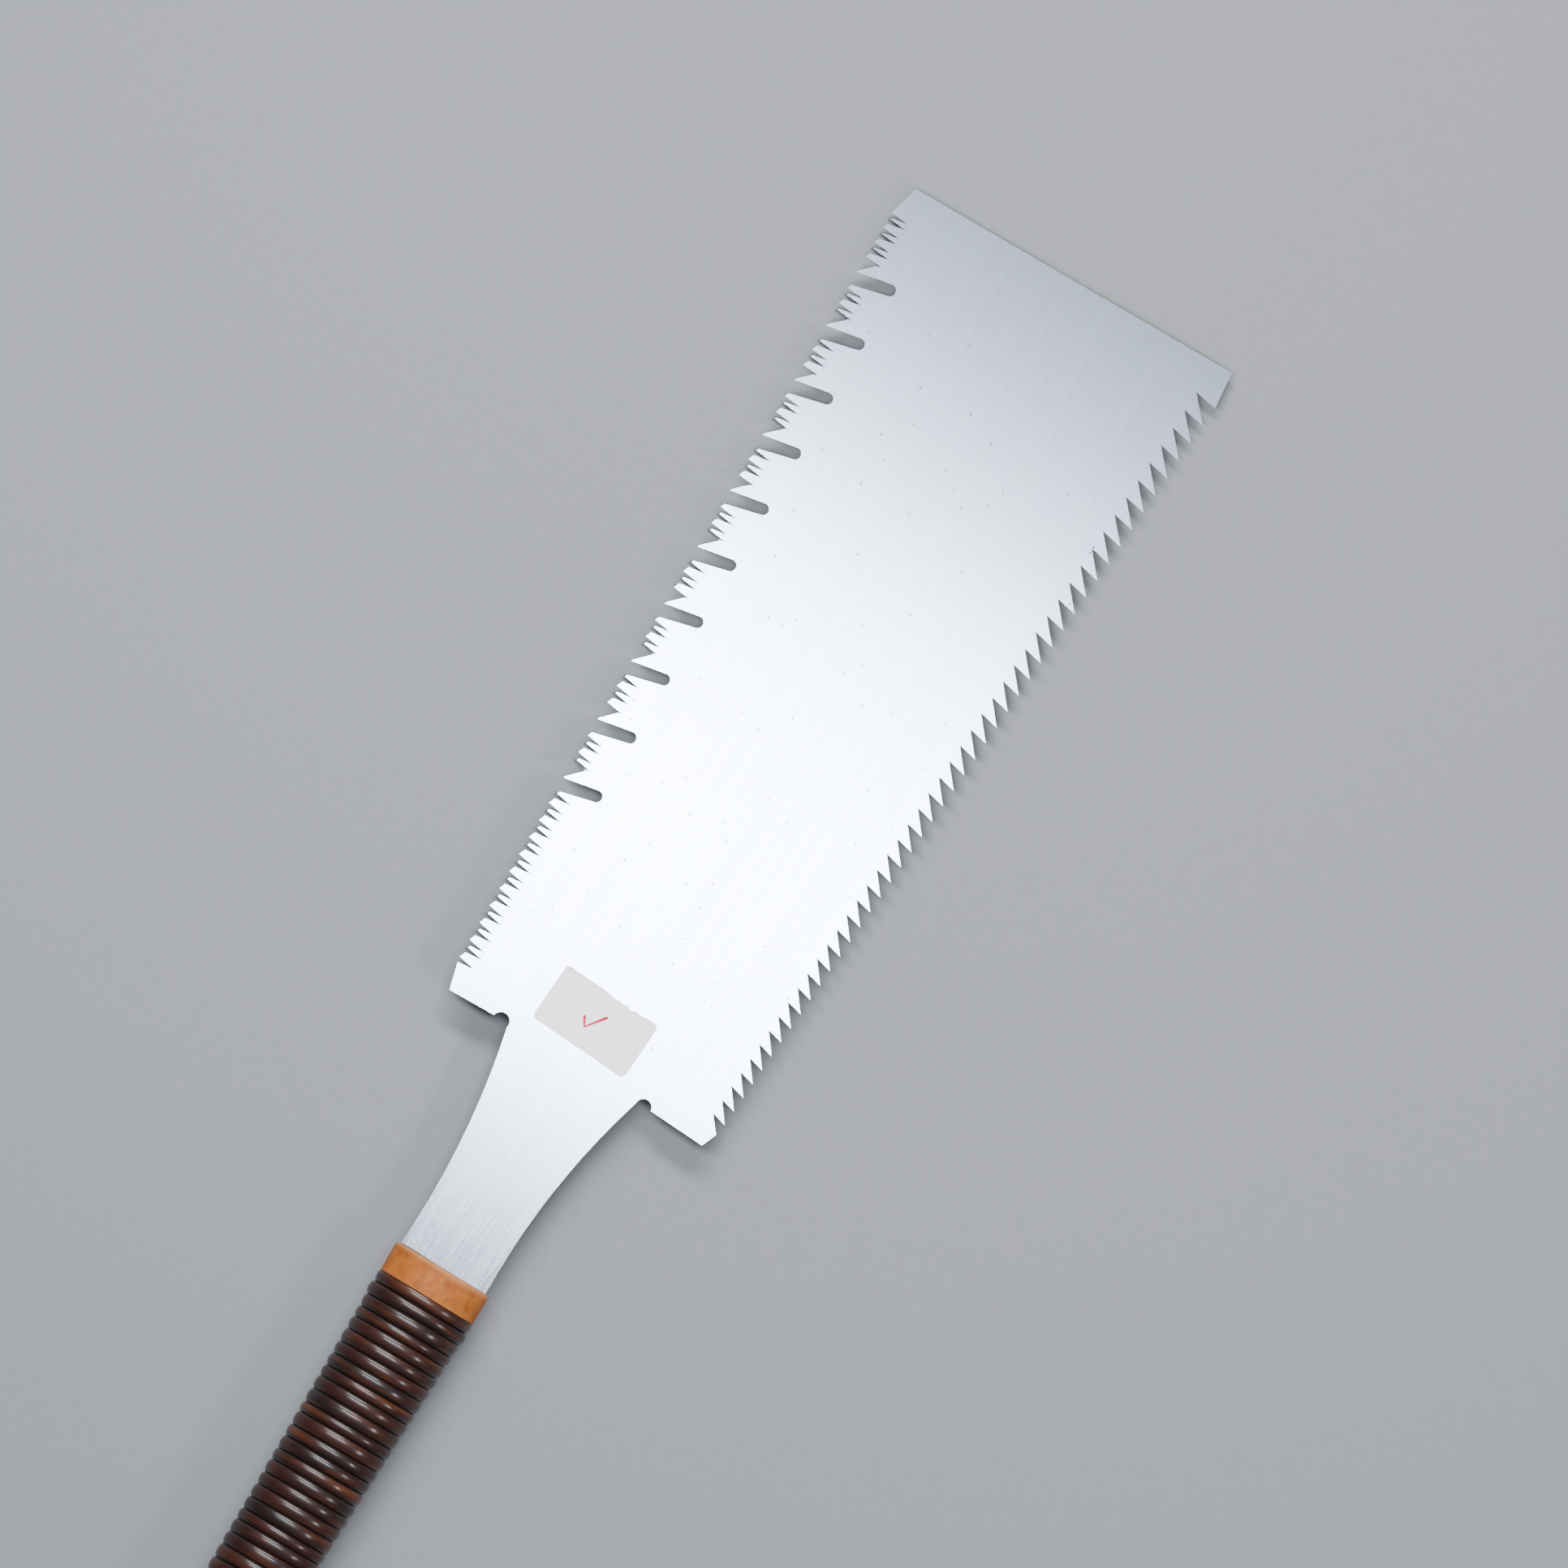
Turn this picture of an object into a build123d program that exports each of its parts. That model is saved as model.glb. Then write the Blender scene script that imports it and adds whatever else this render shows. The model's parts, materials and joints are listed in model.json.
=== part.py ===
from build123d import *
import os
from math import cos, radians, sin, tan

# A double-edged pull saw, lying flat: +X runs to the blade's tip, +Y to its crosscut
# edge, and +Z out of its face. All lengths are in millimetres and angles in degrees.
# The blade is drawn from its heel, where the toothed plate begins and the neck ends.

# The saw plate. Its outline is measured from the middle of the heel.
PLATE_THICKNESS = 0.8
TIP_TOP = (268.0, 53.0)
TIP_BOTTOM = (272.0, -52.9)
HEEL_TOP = (-0.5, 42.9)
HEEL_BOTTOM = (0.5, -43.0)

# The relief notches, which stop a crack where the heel meets the neck.
NOTCH_TOP = ((0.2, 28.1), (2.4, 25.8), (-0.8, 23.0))
NOTCH_BOTTOM = ((0.7, -20.3), (3.2, -22.6), (1.0, -25.1))

# The neck swells from the plate's thickness at the heel to its foot at the handle. It is
# drawn a little too long, and the foot is then cut square to the handle.
NECK_FOOT_X = -69.6
NECK_EXCESS = 1.0
NECK_TOP = ((-23.5, 18.3), (NECK_FOOT_X - NECK_EXCESS, 15.5))
NECK_BOTTOM = ((NECK_FOOT_X - NECK_EXCESS, -13.2), (-23.5, -15.2))
NECK_FOOT_THICKNESS = 3.2
BEVEL_HEIGHT_BOTTOM = 0.95
BEVEL_HEIGHT_TOP = 1.3
BEVEL_ANGLE = 13.0
BEVEL_REACH = 8.0
BEVEL_LENGTH = 36.0

# The rip edge: its pitch grows from the heel to the tip, and each gullet lies under
# the tip of its own tooth, so that the tooth hooks towards the handle.
RIP_FIRST = (9.0, -45.4)
RIP_LAST = (260.6, -54.3)
RIP_TEETH = 47
RIP_PITCH_FIRST = 4.75
RIP_DEPTH_FIRST = 4.8
RIP_DEPTH_LAST = 7.2
RIP_HOOK = 1.2
RIP_HEEL_CORNER = (5.3, -44.8)

# The crosscut edge is a straight tooth line. Distances along it start at its first tooth.
# Its gullets are filed askew and tipped, and the filing turns a little from heel to tip.
CROSSCUT_FIRST = (9.05, 45.5)
CROSSCUT_SLOPE = 2.27
CROSSCUT_LENGTH = 249.5
CROSSCUT_HEEL_CORNER = (7.0, 45.0)
FIRST_GULLET = -0.75
GULLET_DEPTH = 5.9
GULLET_HALF_ANGLE = 8.1
GULLET_TURN_HEEL = -4.0
GULLET_TURN_TIP = 2.0
FILING_ANGLE = 38.0
FILING_TILT = 30.0
FACET_FALL = 24.0
FACET_LENGTH = 2.2

# The first section is plain crosscut teeth. Then each group is a window slot, a raker
# tooth, which is the slot's far wall, and a few crosscut teeth. The raker's tip ends in
# a small facet, and its back runs down to the first gullet of the group.
SECTION_TEETH = 20
SECTION_PITCH = 2.87
RAKERS = 10
FIRST_RAKER = 60.05
RAKER_SPACING = 19.65
RAKER_SPACING_LOSS = 0.2
RAKER_FACET = (0.7, 0.3)
RAKER_BACK_DEPTH = 4.7
RAKER_BACK_SPREAD = 0.3
GROUP_TEETH = 4
GROUP_START = 0.257
GROUP_PITCH = 0.1425
LAST_GROUP_TEETH = 6
LAST_GROUP_START = 4.75
LAST_GROUP_PITCH = 2.47
LAST_TOOTH_BEFORE = 248.0
SLOT_MOUTH = 4.3
SLOT_DEPTH = 12.7
SLOT_NEAR_LEAN = 13.2
SLOT_FAR_LEAN = 9.8
SLOT_CORNER = 1.75

# The cutters reach past both faces of the plate, and past the tooth line.
CUTTER_REACH = 2.0
CUTTER_RISE = 1.0

# The tang, a tapered spike forge-welded to the neck's foot.
TANG_CENTRE_Y = 1.15
TANG_LENGTH = 150.0
TANG_ROOT = (19.0, 2.8)
TANG_END = (7.0, 1.4)
TANG_CLEARANCE = 0.08
SHOULDER_GAP = 0.1

# The handle. Each station is a distance behind the mouth and the oval's half width there.
HANDLE_SKEW = 1.13
HANDLE_LENGTH = 330.0
STATIONS = (
    (0.0, 15.65),
    (45.0, 14.75),
    (90.0, 13.87),
    (150.0, 13.2),
    (230.0, 13.9),
    (320.6, 16.0),
    (HANDLE_LENGTH, 16.3),
)
OVAL_RATIO = 0.81
BARE_END = 9.4
MOUTH_ROUND = 0.9
BUTT_ROUND = 3.0
BLOCK_SIZE = 60.0

# The rattan binding: how deep its rebate is, and how far it stands proud of the wood.
REBATE_DEPTH = 1.15
RATTAN_PROUD = 0.35
RATTAN_STRIPS = 3

# The paper label, on the plate's upper face beside the heel.
LABEL_SIZE = (18.3, 32.0)
LABEL_THICKNESS = 0.12
LABEL_CENTRE = (14.3, 2.3)
LABEL_TURN = -2.0
LABEL_CORNER = 1.5

# The frame: its origin is under the middle of the whole saw, on the surface it lies on.
WRAP_END_HALF_WIDTH = STATIONS[-2][1]
BUTT_EDGE = (STATIONS[-1][1] - BUTT_ROUND) * sin(radians(HANDLE_SKEW))
BUTT_X = NECK_FOOT_X - SHOULDER_GAP - HANDLE_LENGTH * cos(radians(HANDLE_SKEW)) - BUTT_EDGE
CROSSCUT_TOP_Y = CROSSCUT_FIRST[1] + CROSSCUT_LENGTH * sin(radians(CROSSCUT_SLOPE))
HEEL_X = -(TIP_BOTTOM[0] + BUTT_X) / 2
HEEL_Y = -(CROSSCUT_TOP_Y + RIP_LAST[1]) / 2
BLADE_Z = OVAL_RATIO * WRAP_END_HALF_WIDTH + RATTAN_PROUD

BLADE = Plane(origin=(HEEL_X, HEEL_Y, BLADE_Z))
BLADE_SIDE = Plane(origin=(HEEL_X, HEEL_Y, BLADE_Z), x_dir=(1, 0, 0), z_dir=(0, -1, 0))
CROSSCUT_LINE = Plane(
    origin=BLADE.from_local_coords((*CROSSCUT_FIRST, 0)),
    x_dir=(cos(radians(CROSSCUT_SLOPE)), sin(radians(CROSSCUT_SLOPE)), 0),
    z_dir=(0, 0, 1),
)
MOUTH = Plane(
    origin=BLADE.from_local_coords((NECK_FOOT_X - SHOULDER_GAP, TANG_CENTRE_Y, 0)),
    x_dir=(cos(radians(HANDLE_SKEW)), sin(radians(HANDLE_SKEW)), 0),
    z_dir=(0, 0, 1),
)


def rip_outline():
    """Points of the rip edge from the tip to the heel: each tooth's tip, then its gullet."""
    run = RIP_LAST[0] - RIP_FIRST[0]
    pitches = RIP_TEETH - 1
    growth = 2 * (run - pitches * RIP_PITCH_FIRST) / (pitches * (pitches - 1))
    slope = (RIP_LAST[1] - RIP_FIRST[1]) / run
    points = []
    for index in reversed(range(RIP_TEETH)):
        along = index * RIP_PITCH_FIRST + growth * index * (index - 1) / 2
        depth = RIP_DEPTH_FIRST + (RIP_DEPTH_LAST - RIP_DEPTH_FIRST) * along / run
        tip_y = RIP_FIRST[1] + slope * along
        points.append((RIP_FIRST[0] + along, tip_y))
        points.append((RIP_FIRST[0] + along + RIP_HOOK, tip_y + depth))
    return points


def raker_tip(index):
    """Distance of a raker's tip along the crosscut edge."""
    return FIRST_RAKER + index * RAKER_SPACING - RAKER_SPACING_LOSS * index * (index - 1) / 2


def raker_spacing(index):
    """Distance from a raker's tip to the next one."""
    return RAKER_SPACING - RAKER_SPACING_LOSS * index


def group_gullets(group):
    """Distances from a raker's tip to the gullets after it, one in front of each tooth."""
    if group == RAKERS - 1:
        # The last gullet is in front of the plain corner of the plate.
        return [LAST_GROUP_START + LAST_GROUP_PITCH * index for index in range(LAST_GROUP_TEETH + 1)]
    spacing = raker_spacing(group)
    return [(GROUP_START + GROUP_PITCH * index) * spacing for index in range(GROUP_TEETH)]


def crosscut_gullets():
    """Every crosscut gullet: its place, and whether the tooth after it has its full face up."""
    gullets = [
        (FIRST_GULLET + SECTION_PITCH * index, index % 2 == 0) for index in range(SECTION_TEETH)
    ]
    for group in range(RAKERS):
        for index, offset in enumerate(group_gullets(group)):
            gullets.append((raker_tip(group) + offset, (group + index) % 2 == 1))
    return gullets


def gullet_turn(place):
    """How far the filing has turned at a place along the crosscut edge, in degrees."""
    return GULLET_TURN_HEEL + (GULLET_TURN_TIP - GULLET_TURN_HEEL) * place / CROSSCUT_LENGTH


def tooth_front(place):
    """Where the tooth after a gullet begins on the tooth line, on the face it is full on."""
    run = GULLET_DEPTH * tan(radians(GULLET_HALF_ANGLE - gullet_turn(place)))
    return place + run - tan(radians(FILING_ANGLE)) * PLATE_THICKNESS / 2


def notch_cutter(outline, places, lean):
    """A cutter with one notch at each place, its walls leaning through the thickness."""
    with BuildPart() as cutter:
        with BuildSketch(CROSSCUT_LINE):
            with Locations(*places):
                Polygon(*outline, align=None)
        extrude(amount=CUTTER_REACH, dir=lean, both=True)
    return cutter.part


def leaning(along, outward):
    """A direction through the plate that drifts along the tooth line and out of it."""
    drift = CROSSCUT_LINE.x_dir * along + CROSSCUT_LINE.y_dir * outward
    return drift + CROSSCUT_LINE.z_dir


def tapered_spike(clearance):
    """The tang's shape, grown all round by a clearance."""
    root_x = NECK_FOOT_X + NECK_EXCESS
    end_x = NECK_FOOT_X - TANG_LENGTH - clearance
    with BuildPart() as spike:
        with BuildSketch(BLADE):
            with Locations((0, TANG_CENTRE_Y)):
                Polygon(
                    (root_x, TANG_ROOT[0] / 2 + clearance),
                    (root_x, -TANG_ROOT[0] / 2 - clearance),
                    (end_x, -TANG_END[0] / 2 - clearance),
                    (end_x, TANG_END[0] / 2 + clearance),
                    align=None,
                )
        extrude(amount=TANG_ROOT[1], both=True)
        with BuildSketch(BLADE_SIDE):
            Polygon(
                (root_x, TANG_ROOT[1] / 2 + clearance),
                (root_x, -TANG_ROOT[1] / 2 - clearance),
                (end_x, -TANG_END[1] / 2 - clearance),
                (end_x, TANG_END[1] / 2 + clearance),
                align=None,
            )
        extrude(amount=BLOCK_SIZE, both=True, mode=Mode.INTERSECT)
    return spike.part


def handle_station(distance):
    """The plane across the handle at a distance behind its mouth, +X of it across the width."""
    origin = MOUTH.from_local_coords((-distance, 0, 0))
    return Plane(origin=origin, x_dir=MOUTH.y_dir, z_dir=MOUTH.x_dir)


def oval_bar(growth):
    """The whole handle's oval shape, grown or shrunk all round."""
    with BuildPart() as bar:
        for distance, half_width in STATIONS:
            with BuildSketch(handle_station(distance)):
                Ellipse(half_width + growth, OVAL_RATIO * half_width + growth)
        loft()
    return bar.part


def handle_block(near, far):
    """A block that holds the handle between two distances behind its mouth."""
    with BuildPart() as block:
        with BuildSketch(handle_station(far)):
            Rectangle(BLOCK_SIZE, BLOCK_SIZE)
        extrude(amount=far - near)
    return block.part


NECK_FOOT = handle_station(-SHOULDER_GAP)

# The saw plate and its neck are one forging, cut to an outline.
with BuildPart() as saw_plate:
    with BuildSketch(BLADE):
        with BuildLine():
            Polyline(
                NOTCH_TOP[0],
                HEEL_TOP,
                CROSSCUT_HEEL_CORNER,
                CROSSCUT_FIRST,
                BLADE.to_local_coords(CROSSCUT_LINE.from_local_coords((CROSSCUT_LENGTH, 0, 0))),
                TIP_TOP,
                TIP_BOTTOM,
                *rip_outline(),
                RIP_HEEL_CORNER,
                HEEL_BOTTOM,
                NOTCH_BOTTOM[2],
            )
            ThreePointArc(NOTCH_BOTTOM[2], NOTCH_BOTTOM[1], NOTCH_BOTTOM[0])
            ThreePointArc(NOTCH_BOTTOM[0], NECK_BOTTOM[1], NECK_BOTTOM[0])
            Line(NECK_BOTTOM[0], NECK_TOP[1])
            ThreePointArc(NECK_TOP[1], NECK_TOP[0], NOTCH_TOP[2])
            ThreePointArc(NOTCH_TOP[2], NOTCH_TOP[1], NOTCH_TOP[0])
        make_face()
    extrude(amount=NECK_FOOT_THICKNESS, both=True)

    # Seen from its side, the plate is level and the neck swells in a long arc to its foot.
    with BuildSketch(BLADE_SIDE):
        with BuildLine():
            upper = TangentArc(
                (0, PLATE_THICKNESS / 2),
                (NECK_FOOT_X, NECK_FOOT_THICKNESS / 2),
                tangent=(-1, 0),
            )
            lower = mirror(upper, about=Plane.XZ)
            Line(upper @ 1, lower @ 1)
            Polyline(
                upper @ 0,
                (TIP_BOTTOM[0], PLATE_THICKNESS / 2),
                (TIP_BOTTOM[0], -PLATE_THICKNESS / 2),
                lower @ 0,
            )
        make_face()
    extrude(amount=BLOCK_SIZE, both=True, mode=Mode.INTERSECT)

    # The neck's long edges are ground to bevels, which fade out as it gets thinner.
    with BuildSketch(NECK_FOOT):
        rise = BEVEL_REACH * tan(radians(BEVEL_ANGLE))
        for edge, out, height in (
            (NECK_TOP[1][1] - TANG_CENTRE_Y, BEVEL_REACH, BEVEL_HEIGHT_TOP),
            (NECK_BOTTOM[0][1] - TANG_CENTRE_Y, -BEVEL_REACH, BEVEL_HEIGHT_BOTTOM),
        ):
            for face in (1, -1):
                Polygon(
                    (edge + out, face * (height - rise)),
                    (edge - out, face * (height + rise)),
                    (edge + out, face * (height + rise)),
                    align=None,
                )
    extrude(amount=BEVEL_LENGTH, mode=Mode.SUBTRACT)
    split(bisect_by=NECK_FOOT, keep=Keep.TOP)

    # The window slots.
    with BuildSketch(CROSSCUT_LINE) as slots:
        with Locations(*[(raker_tip(group), 0) for group in range(RAKERS)]):
            Polygon(
                (-CUTTER_RISE * tan(radians(SLOT_FAR_LEAN)), CUTTER_RISE),
                (SLOT_DEPTH * tan(radians(SLOT_FAR_LEAN)), -SLOT_DEPTH),
                (SLOT_DEPTH * tan(radians(SLOT_NEAR_LEAN)) - SLOT_MOUTH, -SLOT_DEPTH),
                (-CUTTER_RISE * tan(radians(SLOT_NEAR_LEAN)) - SLOT_MOUTH, CUTTER_RISE),
                align=None,
            )
        fillet(slots.vertices().group_by(Axis.Y)[0], SLOT_CORNER)
    extrude(amount=CUTTER_REACH, both=True, mode=Mode.SUBTRACT)

    # The backs of the rakers.
    with BuildSketch(CROSSCUT_LINE):
        for group in range(RAKERS):
            foot = group_gullets(group)[0]
            with Locations((raker_tip(group), 0)):
                Polygon(
                    (0, 0),
                    (RAKER_FACET[0], -RAKER_FACET[1]),
                    (foot, -RAKER_BACK_DEPTH),
                    (foot + RAKER_BACK_SPREAD, 0),
                    (foot + RAKER_BACK_SPREAD, CUTTER_RISE),
                    (0, CUTTER_RISE),
                    align=None,
                )
    extrude(amount=CUTTER_REACH, both=True, mode=Mode.SUBTRACT)

    # The crosscut teeth: every other gullet is filed askew the other way, so that each
    # tooth is a knife on one face of the plate. A facet filed on top makes its point.
    gullet_height = GULLET_DEPTH + CUTTER_RISE
    gullet_spread = gullet_height * tan(radians(GULLET_HALF_ANGLE))
    gullet = ((0, 0), (gullet_spread, gullet_height), (-gullet_spread, gullet_height))
    tilt_drift = tan(radians(FILING_TILT))
    facet_drop = -tilt_drift * PLATE_THICKNESS / 2
    facet_fall = tan(radians(FACET_FALL))
    facet = (
        (-CUTTER_RISE, facet_drop + facet_fall * CUTTER_RISE),
        (FACET_LENGTH, facet_drop - facet_fall * FACET_LENGTH),
        (FACET_LENGTH, CUTTER_RISE),
        (-CUTTER_RISE, CUTTER_RISE),
    )
    for full_up, side in ((True, 1), (False, -1)):
        places = [place for place, up in crosscut_gullets() if up == full_up]
        filed = [Location((place, -GULLET_DEPTH, 0), (0, 0, gullet_turn(place))) for place in places]
        askew = leaning(-side * tan(radians(FILING_ANGLE)), side * tilt_drift)
        add(notch_cutter(gullet, filed, askew), mode=Mode.SUBTRACT)
        fronts = [(tooth_front(place), 0) for place in places if place < LAST_TOOTH_BEFORE]
        add(notch_cutter(facet, fronts, leaning(0, side * tilt_drift)), mode=Mode.SUBTRACT)
saw_plate.part.label = "saw_plate"

# The tang tapers both ways, so that it draws up tight as it is driven in.
with BuildPart() as tang:
    add(tapered_spike(0))
    split(bisect_by=NECK_FOOT, keep=Keep.BOTTOM)
tang.part.label = "tang"

# The handle is one length of wood sawn in two along the blade's plane. Both halves are
# hollowed for the tang, glued, and rebated for the rattan between two bare ends.
with BuildPart() as handle_wood:
    add(oval_bar(0))
    add(handle_block(BARE_END, HANDLE_LENGTH - BARE_END), mode=Mode.SUBTRACT)
    add(oval_bar(-REBATE_DEPTH))
    fillet(handle_wood.faces().sort_by(Axis.X)[0].edges(), BUTT_ROUND)
    fillet(handle_wood.faces().sort_by(Axis.X)[-1].edges(), MOUTH_ROUND)
    add(tapered_spike(TANG_CLEARANCE), mode=Mode.SUBTRACT)

with BuildPart() as handle_upper_half:
    add(handle_wood.part)
    split(bisect_by=BLADE, keep=Keep.TOP)
handle_upper_half.part.label = "handle_upper_half"

with BuildPart() as handle_lower_half:
    add(handle_wood.part)
    split(bisect_by=BLADE, keep=Keep.BOTTOM)
handle_lower_half.part.label = "handle_lower_half"

# The rattan strips are wound one after another. Each is a closed sleeve as thick as the
# strip, over the length of handle that it covers.
rattan_strips = []
strip_length = (HANDLE_LENGTH - 2 * BARE_END) / RATTAN_STRIPS
for index in range(RATTAN_STRIPS):
    with BuildPart() as rattan_strip:
        add(oval_bar(RATTAN_PROUD))
        add(oval_bar(-REBATE_DEPTH), mode=Mode.SUBTRACT)
        near = BARE_END + index * strip_length
        add(handle_block(near, near + strip_length), mode=Mode.INTERSECT)
    rattan_strip.part.label = f"rattan_strip_{index + 1}"
    rattan_strips.append(rattan_strip)

# The label is pasted on the plate.
with BuildPart() as label:
    with BuildSketch(BLADE.offset(PLATE_THICKNESS / 2)):
        with Locations(Location((*LABEL_CENTRE, 0), (0, 0, LABEL_TURN))):
            RectangleRounded(*LABEL_SIZE, LABEL_CORNER)
    extrude(amount=LABEL_THICKNESS)
label.part.label = "label"

os.makedirs("parts", exist_ok=True)
for piece in (saw_plate, tang, handle_upper_half, handle_lower_half, *rattan_strips, label):
    export_step(piece.part, f"parts/{piece.part.label}.step")
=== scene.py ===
# %% [markdown]
# # A double-edged pull saw
#
# The saw has a toothed steel blade, a short neck that runs into a wooden handle, and a
# binding of dark lacquered rattan round that handle. The blade, its tang and the two
# wooden halves come from the CAD model and keep their shape, and this lesson gives them
# their finishes. It winds the rattan and cuts the paper label as new meshes.

# %% Load the frame
import json
from math import atan2, cos, degrees, exp, floor, hypot, pi, radians, sin

import bmesh
import bpy
from mathutils import Matrix, Vector, noise
from mathutils.bvhtree import BVHTree


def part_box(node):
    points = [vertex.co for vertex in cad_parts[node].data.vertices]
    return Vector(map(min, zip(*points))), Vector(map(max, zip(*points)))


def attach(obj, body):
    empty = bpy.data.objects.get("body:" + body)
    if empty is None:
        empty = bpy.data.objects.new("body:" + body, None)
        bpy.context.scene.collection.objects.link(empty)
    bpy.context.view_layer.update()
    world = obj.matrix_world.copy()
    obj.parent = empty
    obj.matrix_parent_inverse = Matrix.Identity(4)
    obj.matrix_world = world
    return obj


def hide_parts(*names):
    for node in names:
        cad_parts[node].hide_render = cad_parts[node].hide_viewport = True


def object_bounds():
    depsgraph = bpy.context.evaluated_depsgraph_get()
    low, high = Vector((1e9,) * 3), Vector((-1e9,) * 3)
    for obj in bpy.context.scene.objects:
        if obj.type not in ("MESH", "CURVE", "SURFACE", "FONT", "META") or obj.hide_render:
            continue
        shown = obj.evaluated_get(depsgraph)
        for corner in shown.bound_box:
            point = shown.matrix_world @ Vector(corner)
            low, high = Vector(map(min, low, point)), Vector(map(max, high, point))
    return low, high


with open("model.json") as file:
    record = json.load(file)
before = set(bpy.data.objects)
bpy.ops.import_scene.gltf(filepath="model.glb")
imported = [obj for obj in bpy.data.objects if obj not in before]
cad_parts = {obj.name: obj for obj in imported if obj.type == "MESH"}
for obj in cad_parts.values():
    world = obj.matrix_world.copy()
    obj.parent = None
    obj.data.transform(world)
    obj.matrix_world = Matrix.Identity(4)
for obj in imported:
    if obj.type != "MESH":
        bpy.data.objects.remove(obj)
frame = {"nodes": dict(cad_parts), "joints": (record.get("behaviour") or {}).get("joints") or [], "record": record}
cad_low, cad_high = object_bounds()
nodes = frame["nodes"]
print("CAD box in mm:", [round(1000 * v, 2) for v in (*cad_low, *cad_high)])

# %% [markdown]
# ## Measures and helpers
#
# Everything is in metres, so lengths are written as millimetres times MM. The handle's
# own line is skewed a little to the blade, and the record's butt mount says where that
# line ends and which way it points.

# %% The handle's line
MM = 0.001


def mount(name):
    """One of the record's mounts, by its name."""
    return next(m for m in frame["record"]["mounts"] if m["name"] == name)


butt = mount("butt_end")
BUTT = Vector(butt["pos_m"])
ALONG = -Vector(butt["axis"]).normalized()
HANDLE_LENGTH = 330 * MM
MOUTH = BUTT + HANDLE_LENGTH * ALONG
UP = Vector((0, 0, 1))
ACROSS = UP.cross(ALONG)
print("mouth of the handle in mm:", [round(v / MM, 2) for v in MOUTH])


# %% [markdown]
# A finished mesh becomes one object at the origin, and its points hold its place. Smooth
# shading suits rounded shapes, and flat shading suits cut paper. Points that two steps
# of a build leave in one place are merged when they are nearer than MERGE.


# %% Turn a bmesh into a piece
MERGE = 0.001 * MM


def piece_from(bm, name, body, smooth=True):
    """Makes the bmesh one object that rides on a body."""
    bmesh.ops.recalc_face_normals(bm, faces=bm.faces)
    for face in bm.faces:
        face.smooth = smooth
    mesh = bpy.data.meshes.new(name)
    bm.to_mesh(mesh)
    bm.free()
    piece = bpy.data.objects.new(name, mesh)
    bpy.context.scene.collection.objects.link(piece)
    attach(piece, body)
    print(name, "has", len(mesh.polygons), "faces")
    return piece


# %% [markdown]
# ## The rattan binding
#
# The handle is bound with split cane: a strip with a nearly flat back and a round front,
# wound tightly and lacquered. It could be a bump pattern on a plain sleeve, but then its edge
# would be straight against the light. Here the strip's D-shaped section is spun round
# the handle's line like a screw thread, and each point is then laid on the CAD sleeve,
# which is an oval that narrows and swells. Its front touches the sleeve's outside.

# %% The strip's section and turns
TURNS = 26
STEPS_PER_TURN = 48
SECTION_POINTS = 20
STRIP_THICKNESS = 1.5 * MM
STRIP_EDGE = 0.4 * MM
CANE_GAP = 0.12 * MM
SPIN_RADIUS = 15 * MM


def strip_section(bm, width):
    """Draws the D-shaped section on the +Y side of the X axis."""
    ring = bmesh.ops.create_circle(bm, segments=SECTION_POINTS, radius=1)["verts"]
    crown = STRIP_THICKNESS - STRIP_EDGE
    bmesh.ops.scale(bm, vec=(width / 2, crown, 1), verts=ring)
    back = [v for v in ring if v.co.y < 0]
    bmesh.ops.scale(bm, vec=(1, STRIP_EDGE / crown, 1), verts=back)
    place = (width / 2, SPIN_RADIUS + STRIP_EDGE, 0)
    bmesh.ops.translate(bm, vec=place, verts=ring)


# %% [markdown]
# The turns lie nearly square on the top and take most of their sideways step on the
# underside, where it isn't seen. The first and last turns do so wholly, so each end of
# a strip is square to the handle. A smooth noise makes some turns wider than others. It
# is a noise in space, and UNEVEN_SLICE says at which level of it the line is read.

# %% Where the edge between two turns lies
JOGGLE = 0.2
FADE_TURNS = 3.0
LEAST_SQUARE = 0.7
UNEVEN = 0.75 * MM
UNEVEN_RATE = 0.83
UNEVEN_SLICE = 0.5


def edge_line(turn, pitch, seed):
    """The distance along the sleeve of the strip's edge, after so many turns."""
    turn = min(max(turn, 0), TURNS)
    part = turn - floor(turn)
    rise = min(part / JOGGLE, 1)
    step = rise * rise * (3 - 2 * rise)
    square = max(exp(-turn / FADE_TURNS), exp((turn - TURNS) / FADE_TURNS), LEAST_SQUARE)
    wander = noise.noise(Vector((UNEVEN_RATE * turn, seed, UNEVEN_SLICE)))
    held = min(turn, TURNS - turn, 1)
    return pitch * (turn + square * (step - part)) + UNEVEN * wander * held


# %% [markdown]
# The tucked end of the strip lies under the first turns at the mouth, and pushes them
# out a little at both sides. Where a turn has less room than usual it is pared thinner,
# which also thins the strip's two ends. Each turn leans a little towards the mouth,
# because it was pulled tight against the turn before. The turns overlap by more than the
# gap between their sections, so that no wood shows through.

# %% Wind one strip
FROM_BOTTOM = -JOGGLE / 2
OVERLAP = 1.08
LEAST_WIDTH = 0.3 * MM
TUCK_TURN = 0.6
TUCK_WIDTH = 0.4
TUCK_LIFT = 0.6 * MM
TUCK_TO_SIDES = 1.5
LEAN = 0.2
PARING = 1.4
REACH = 40 * MM
END_MARGIN = 0.02 * MM


def sleeve_span(node):
    """How far behind the mouth a sleeve begins and ends."""
    behind = [(MOUTH - v.co).dot(ALONG) for v in nodes[node].data.vertices]
    return min(behind), max(behind)


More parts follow.
